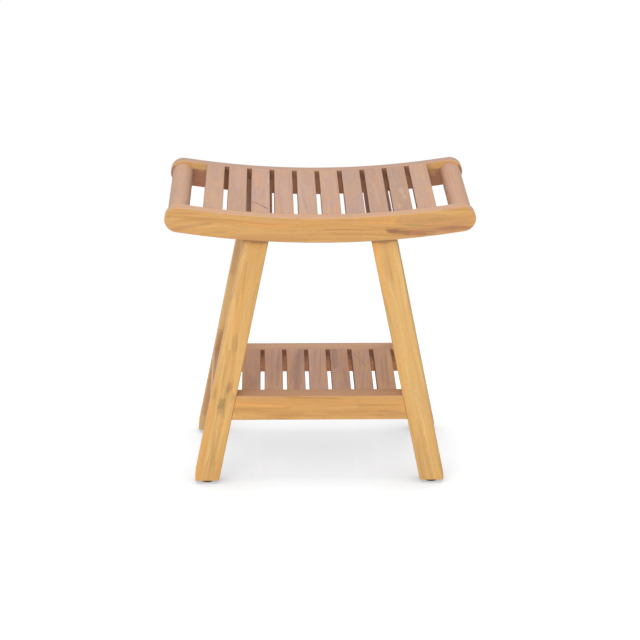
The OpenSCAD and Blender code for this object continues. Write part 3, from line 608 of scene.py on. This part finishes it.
sideValues = {  # draw is where the random pith starts
    # the cross rails, under the slats, take painted shade on all but their undersides
    "cross_rail": {"seed": 70.0, "draw": 110, "facingColours": [finish(upward, -0.9, -0.3, underSeatShade, strength=0.94)]},
    # the stretchers' tops take a pinkish colour, weathered and partly a painted sheen
    "stretcher": {"seed": 69.0, "draw": 108, "facingColours": [finish(upward, 0.35, 0.8, (0.57, 0.325, 0.200))]},
}
for k, side in enumerate(("left", "right")):
    slope = benchValues["splay"] * (1 if side == "left" else -1)
    across = (math.cos(slope), 0, -math.sin(slope))
    for part, own in sideValues.items():
        draw = np.random.default_rng(own["draw"] + k)
        values = {**own, "pith": (draw.uniform(-0.02, 0.02), 0, draw.uniform(-0.09, -0.04)), "rings": 0.3,
                  "ringWidth": 0.0065, "seed": own["seed"] + 3 * k, "wear": rubbed(across, "frame", 0.3)}
        dressInTeak(f"{part}_{side}", f"{side}{joined(part)}Teak", across, backward, "honey", values)
print("legs and side frames dressed")

insideShelfAndShade = {"pale": (0.640, 0.325, 0.180), "dark": (0.380, 0.150, 0.100)}  # the dark part, just under the slats, is painted shade
shelfRailValues = {
    "front": {
        "seed": 23.5, "tone": (1.01, 0.955, 0.90), "pith": (0.006, 0, -0.065), "ringWidth": 0.0085, "wander": 0.007,
        "rinsedAndSheen": (0.566, 0.333, 0.180), "face": -0.14175, "marks": [
            line((-0.1340, 0.1363), (0.0300, 0.1392), veins["soft"], 0.0034, 0.50, bow=(0, 0, -0.0022), fray=0.0014),
            line((-0.1050, 0.1303), (-0.0300, 0.1250), veins["soft"], 0.0034, 0.45, fray=0.0014),
            line((-0.0020, 0.1384), (0.1380, 0.1402), veins["soft"], 0.0034, 0.60, bow=(0, 0, 0.0012), fray=0.0014),
            line((-0.0880, 0.1245), (0.0200, 0.1210), veins["soft"], 0.0036, 0.50, fray=0.0014),
            line((-0.0500, 0.1350), (0.0650, 0.1380), (0.760, 0.420, 0.145), 0.0085, 0.45, fray=0.003),
            line((-0.1334, 0.1510), (-0.0450, 0.1480), (0.600, 0.320, 0.120), 0.0060, 0.40, fray=0.003),
            line((0.0980, 0.1305), (0.1450, 0.1255), veins["red"], 0.0048, 0.45, fray=0.002)]},
    "rear": {"seed": 27.8, "pith": (0.010, 0, -0.070), "ringWidth": 0.0070, "wander": 0.007,
             "rinsedAndSheen": (0.640, 0.376, 0.222), "backEdge": {"behind": 0.1355, "colour": (0.500, 0.345, 0.240)}},
}
for side, own in shelfRailValues.items():
    inward = (0, 1 if side == "front" else -1, 0)
    # their tops take a rinsed grey colour that is partly a painted sheen
    facingColours = [finish(upward, 0.25, 0.75, own["rinsedAndSheen"]),
                finish(inward, 0.5, 0.9, insideShelfAndShade["pale"], strength=0.9),
                # painted shade on the inner faces, darkest just under the slat tops
                finish(inward, 0.5, 0.9, insideShelfAndShade["dark"], shelf=1.0, start=0.028, reach=-0.020, strength=0.65)]
    if "backEdge" in own:
        facingColours.append(finish(upward, 0.25, 0.75, reach=0.003, strength=0.8, **own["backEdge"]))
    # the arrises of their front and back faces take a pale painted highlight
    values = {"rings": 0.36, "bands": 0.6, "streaks": 0.5, **onFace(own), "facingColours": facingColours,
              "wear": rubbed(backward, "shelfRailHighlight", 0.5)}
    dressInTeak(f"shelf_rail_{side}", f"{side}ShelfRailTeak", upward, rightward, "honey", values)

shade = {"mauve": (0.400, 0.222, 0.172), "brown": (0.450, 0.245, 0.140), "gold": (0.620, 0.370, 0.170)}
shelfSlatValues = {  # from the left; marks are at (x, y)
    1: {"tone": (1.045, 1.03, 0.96), "marks": [
        spot((-0.1135, -0.085), shade["brown"], 0.012, 0.55)]},
    2: {"tone": (1.095, 1.10, 1.10), "marks": [
        line((-0.067, 0.100), (-0.071, -0.090), shade["mauve"], 0.006, 0.45, fray=0.003)]},
    3: {"tone": (1.09, 1.105, 1.055), "marks": [
        line((-0.0270, 0.118), (-0.0370, -0.118), shade["mauve"], 0.0150, 0.85, bow=(-0.004, 0, 0), fray=0.003)]},
    4: {"tone": (1.06, 1.08, 1.11), "marks": [
        spot((-0.006, 0.060), (0.62, 0.39, 0.29), 0.010, 0.50)]},
    5: {"tone": (0.975, 0.93, 0.87), "marks": [
        line((0.0290, 0.118), (0.0290, 0.000), shade["mauve"], 0.0110, 0.80, fray=0.003),
        spot((0.0365, -0.050), shade["gold"], 0.010, 0.55),
        line((0.0450, 0.000), (0.0480, -0.100), shade["mauve"], 0.006, 0.50, fray=0.002)]},
    6: {"tone": (1.03, 1.09, 1.12), "marks": [
        line((0.0620, 0.088), (0.0840, 0.010), shade["mauve"], 0.0040, 0.50, fray=0.0015)]},
    7: {"tone": (1.10, 1.09, 0.955), "marks": [
        line((0.1215, 0.090), (0.1165, -0.095), shade["brown"], 0.0045, 0.65, fray=0.002),
        line((0.1120, 0.060), (0.1090, -0.090), shade["mauve"], 0.0045, 0.55, fray=0.002)]},
}
for k, own in shelfSlatValues.items():
    values = {"seed": 80 + 2.3 * k, "rings": 0.32, "bands": 0.9, "streaks": 0.5,
              **slatLooks(slatValues, 120 + k, rightward, downward, placeMarks(own, onShelf))}
    dressInTeak(f"shelf_slat_{k}", f"shelfSlatTeak{k}", rightward, backward, "mauve", values)
print("shelf dressed")

# dowels and pins are plain turned hardwood
pinValues = {"seed": 4.4, "tone": 0.95, "ringWidth": 0.0016, "rings": 0.5, "pores": 0.8}
for node, name in (("leg_dowels", "dowelWood"), ("locking_pins", "pinWood")):
    dress(node, teakMaterial(name, Vector((0, 0, 0)), Matrix.Identity(3), "honey", pinValues))


metalValues = {  # rings and tarnish are in waves a metre
    "insertBrass": {"colour": (0.560, 0.390, 0.170), "roughness": 0.28, "rings": (40.0, 40.0, 4000.0)},
    "screwSteel": {"colour": (0.520, 0.525, 0.535), "roughness": 0.24, "rings": (40.0, 40.0, 6000.0)}}
turnedValues = {"tarnish": 240.0, "tarnishLevels": (0.48, 0.72), "tarnishShare": 0.55, "tarnishTone": 0.62,
                "uneven": 0.10, "bump": 0.2, "bumpDepth": 0.00005}


def metalMaterial(name, v):
    # turned metal: fine rings of tool marks up the upright axis, and a little tarnish
    material, n = newMaterial(name)
    place = n.add("ShaderNodeTexCoord").outputs["Object"]
    marks = n.noise(n.times(place, v["rings"]), 1.0, 2.0, 0.6)
    tarnish = n.noise(place, v["tarnish"], 3.0, 0.6)
    dull = n.smooth(tarnish, *v["tarnishLevels"], (0.0, v["tarnishShare"]))
    base = n.mix(dull, rgba(v["colour"]), rgba(v["colour"], v["tarnishTone"]))
    rough = n.math("MULTIPLY_ADD", n.math("ADD", marks, tarnish), v["uneven"], v["roughness"])
    bump = n.add("ShaderNodeBump", {"Height": marks, "Strength": v["bump"], "Distance": v["bumpDepth"]})
    shader = n.add("ShaderNodeBsdfPrincipled", {"Base Color": base, "Roughness": rough, "Normal": bump.outputs[0]})
    shader.inputs["Metallic"].default_value = 1.0
    n.surface(shader.outputs[0])
    return material


padValues = {"low": (0.110, 0.050, 0.018), "high": (0.150, 0.070, 0.027), "pebble": 2600.0,
             "pebbleLevels": (0.35, 0.65), "scuff": (300.0, 300.0, 900.0), "dust": (0.210, 0.120, 0.065),
             "dustHeight": 0.0030, "dustShare": (0.05, 0.35), "dustLevels": (0.40, 0.70), "roughness": 0.45,
             "scuffRoughness": 0.25, "bump": 0.3, "bumpDepth": 0.00012, "specular": 0.15}


def padMaterial(v):
    # moulded plastic: fine pebbled skin, scuffed and dusty towards the floor
    material, n = newMaterial("padPlastic")
    place = n.add("ShaderNodeTexCoord").outputs["Object"]
    pebble = n.noise(place, v["pebble"], 2.0, 0.5)
    scuff = n.noise(n.times(place, v["scuff"]), 1.0, 3.0, 0.65)
    low = n.smooth(n.part(place, 2), v["dustHeight"], 0.0, v["dustShare"])
    dust = n.math("MULTIPLY", low, n.smooth(scuff, *v["dustLevels"]))
    base = n.mix(n.smooth(pebble, *v["pebbleLevels"]), rgba(v["low"]), rgba(v["high"]))
    base = n.mix(dust, base, rgba(v["dust"]))
    rough = n.math("MULTIPLY_ADD", scuff, v["scuffRoughness"], v["roughness"])
    bump = n.add("ShaderNodeBump", {"Height": pebble, "Strength": v["bump"], "Distance": v["bumpDepth"]})
    shader = n.add("ShaderNodeBsdfPrincipled", {"Base Color": base, "Roughness": rough, "Normal": bump.outputs[0]})
    shader.inputs["Specular IOR Level"].default_value = v["specular"]
    n.surface(shader.outputs[0])
    return material


brass, steel = (metalMaterial(name, {**turnedValues, **own}) for name, own in metalValues.items())
dress("foot_inserts", brass)
padPlastic = padMaterial(padValues)

screwValues = {"radius": 0.003, "depth": 0.0006, "pitch": 0.001, "hexWidth": 0.011, "hexLow": 0.0059,
               "hexHigh": 0.0085, "headRadius": 0.0055, "headLow": 0.0027, "headHigh": 0.0045, "top": 0.027,
               "chamfer": 0.0008, "flank": 2.6, "crest": 0.15, "around": 48, "perTurn": 10}


def screwSurface(v):
    # Radius over (angle, height): the head's and shank's circles, the hexagon's flats as a distance over a cosine,
    # and a thread that falls from the radius by the depth along a triangle wave of height less angle, cut flat at
    # its crest and root
    angle = np.linspace(0, 2 * math.pi, v["around"], endpoint=False)
    rows = int((v["top"] - v["hexHigh"]) / v["pitch"] * v["perTurn"])
    shaft = np.linspace(v["hexHigh"], v["top"], rows)
    steps = [(v["headLow"], "axis"), (v["headLow"], "head"), (v["headHigh"], "head"), (v["headHigh"], "shank"),
             (v["hexLow"], "shank"), (v["hexLow"], "hex"), (v["hexHigh"], "hex")]
    heights = np.concatenate([[s[0] for s in steps], shaft, [v["top"]]])
    kinds = np.concatenate([[s[1] for s in steps], ["thread"] * rows, ["axis"]])
    a, z = np.meshgrid(angle, heights)
    flat = v["hexWidth"] / 2 * math.cos(math.pi / 6)
    hexagon = flat / np.cos((a + math.pi / 6) % (math.pi / 3) - math.pi / 6)
    phase = (z / v["pitch"] - a / (2 * math.pi)) % 1.0
    wave = np.clip(np.abs(phase - 0.5) * v["flank"] - v["crest"], 0, 1)
    thread = np.minimum(v["radius"] - v["depth"] * wave, v["radius"] - v["chamfer"] + (v["top"] - z))
    thread = np.where(z <= v["hexHigh"], v["radius"] - v["depth"], thread)
    tiny = 1e-5  # radius at the caps, which close over it
    radius = np.select([kinds[:, None] == k for k in ("axis", "head", "shank", "hex", "thread")],
                       [0 * a + tiny, 0 * a + v["headRadius"], 0 * a + v["radius"], hexagon, thread])
    return radius * np.cos(a), radius * np.sin(a), z


def tubeMesh(name, x, y, z):
    # quads over a grid of rows by columns that closes on itself, with a cap at each end
    rows, columns = x.shape
    points = np.stack([x, y, z], axis=-1).reshape(-1, 3)
    i, j = np.meshgrid(np.arange(rows - 1), np.arange(columns), indexing="ij")
    here, right = i * columns + j, i * columns + (j + 1) % columns
    faces = np.stack([here, right, right + columns, here + columns], axis=-1).reshape(-1, 4).tolist()
    faces.append(list(range(columns))[::-1])
    faces.append(list(range((rows - 1) * columns, rows * columns)))
    mesh = bpy.data.meshes.new(name)
    mesh.from_pydata(points.tolist(), [], faces)
    mesh.update()
    return mesh


for corner in ("front_left", "front_right", "rear_left", "rear_right"):
    dress(f"foot_pad_{corner}", padPlastic)
    low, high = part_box(f"foot_screw_{corner}")
    middle = (Vector(low) + Vector(high)) / 2
    x, y, z = screwSurface(screwValues)
    label = "threadedScrew" + joined(corner)
    screw = bpy.data.objects.new(label, tubeMesh(label, x + middle.x, y + middle.y, z))
    bpy.context.scene.collection.objects.link(screw)
    screw.data.materials.append(steel)
    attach(screw, f"screw_{corner}")
    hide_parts(f"foot_screw_{corner}")
print("feet dressed")

studioValues = {
    "floorSize": 14.0, "floorColour": (0.80, 0.80, 0.80), "shadowBase": (0.541, 0.595, 0.637),
    "shadowDepth": (0.557, 0.525, 0.492), "nearShadow": 0.50, "farShadow": 1.00,
    "contactReach": 0.100, "contactShare": 0.35, "contactSamples": 16,
    "worldStrength": 0.66, "lampTarget": (0, 0, 0.3), "lamps": {
        "topLight": {"power": 36.0, "size": 1.7, "place": (0.0, 0.12, 2.9)},
        "frontLight": {"power": 60.0, "size": 3.0, "place": (-1.2, -3.6, 2.2)}},
}


def seenDirectly(n):
    # 1 for camera, glossy and transmission rays
    path = n.add("ShaderNodeLightPath").outputs
    clear = n.math("MAXIMUM", path["Is Glossy Ray"], path["Is Transmission Ray"])
    return n.math("MAXIMUM", path["Is Camera Ray"], clear)


def floorMaterial(v):
    # The camera sees white that keeps a pale shadow near the bench, and everything else sees a plain pale floor.
    # What is seen is a glow plus a share of the light that falls there, and it is clear from below.
    material, n = newMaterial("studioFloor")
    place = n.add("ShaderNodeTexCoord").outputs["Object"]
    far = n.smooth(n.vector("LENGTH", place), v["nearShadow"], v["farShadow"])
    glow = n.mix(far, rgba(v["shadowBase"]), rgba((1, 1, 1)))
    deep = n.mix(far, rgba(v["shadowDepth"]), rgba((0, 0, 0)))
    # a soft touch of shade where the feet stand
    near = n.add("ShaderNodeAmbientOcclusion", {"Distance": v["contactReach"]}, samples=v["contactSamples"])
    contact = n.spread(n.math("MULTIPLY_ADD", near.outputs["AO"], v["contactShare"], 1.0 - v["contactShare"]))
    glow, deep = n.vector("MULTIPLY", glow, contact), n.vector("MULTIPLY", deep, contact)
    diffuse = n.add("ShaderNodeBsdfDiffuse", {"Color": rgba(v["floorColour"])})
    dim = n.add("ShaderNodeBsdfDiffuse", {"Color": deep})
    bright = n.add("ShaderNodeEmission", {"Color": glow})
    both = n.add("ShaderNodeAddShader", {0: dim.outputs[0], 1: bright.outputs[0]})
    shown = n.add("ShaderNodeMixShader", {0: seenDirectly(n), 1: diffuse.outputs[0], 2: both.outputs[0]})
    under = n.add("ShaderNodeNewGeometry").outputs["Backfacing"]
    clear = n.add("ShaderNodeBsdfTransparent")
    n.surface(n.add("ShaderNodeMixShader", {0: under, 1: shown.outputs[0], 2: clear.outputs[0]}).outputs[0])
    return material


def makeStudio(v):
    half = v["floorSize"] / 2
    mesh = bpy.data.meshes.new("studioFloor")
    mesh.from_pydata([(-half, -half, 0), (half, -half, 0), (half, half, 0), (-half, half, 0)], [], [(0, 1, 2, 3)])
    floor = bpy.data.objects.new("studioFloor", mesh)
    bpy.context.scene.collection.objects.link(floor)
    mesh.materials.append(floorMaterial(v))
    world = bpy.data.worlds.new("studioWorld")
    bpy.context.scene.world = world
    world.use_nodes = True
    world.node_tree.nodes.clear()
    n = Nodes(world.node_tree)
    strength = n.math("MULTIPLY_ADD", seenDirectly(n), 1.0 - v["worldStrength"], v["worldStrength"])
    back = n.add("ShaderNodeBackground", {"Color": (1, 1, 1, 1), "Strength": strength})
    n.put(n.add("ShaderNodeOutputWorld").inputs["Surface"], back.outputs[0])
    for name, own in v["lamps"].items():
        light = bpy.data.lights.new(name, "AREA")
        light.energy, light.size = own["power"], own["size"]
        lamp = bpy.data.objects.new(name, light)
        bpy.context.scene.collection.objects.link(lamp)
        lamp.location = own["place"]
        lamp.rotation_euler = (Vector(v["lampTarget"]) - Vector(own["place"])).to_track_quat("-Z", "Y").to_euler()


makeStudio(studioValues)

cameraValues = {"place": (-0.08547, -4.13587, 1.57956), "right": (0.99978196, -0.02076939, 0.00215934),
                "down": (-0.00432214, -0.30700160, -0.95169918), "lens": 142.394, "sensor": 36.0,
                "clip": (0.05, 60.0)}  # right and down are the picture's own directions


def makeCamera(v):
    camera = bpy.data.objects.new("camera", bpy.data.cameras.new("camera"))
    bpy.context.scene.collection.objects.link(camera)
    camera.data.lens, camera.data.sensor_width = v["lens"], v["sensor"]
    camera.data.clip_start, camera.data.clip_end = v["clip"]
    right, up = Vector(v["right"]).normalized(), -Vector(v["down"]).normalized()
    turn = Matrix((right, up, right.cross(up))).transposed()
    camera.matrix_world = Matrix.Translation(v["place"]) @ turn.to_4x4()
    bpy.context.scene.camera = camera


makeCamera(cameraValues)
bpy.context.scene.view_settings.view_transform = "Standard"
print("studio and camera ready")
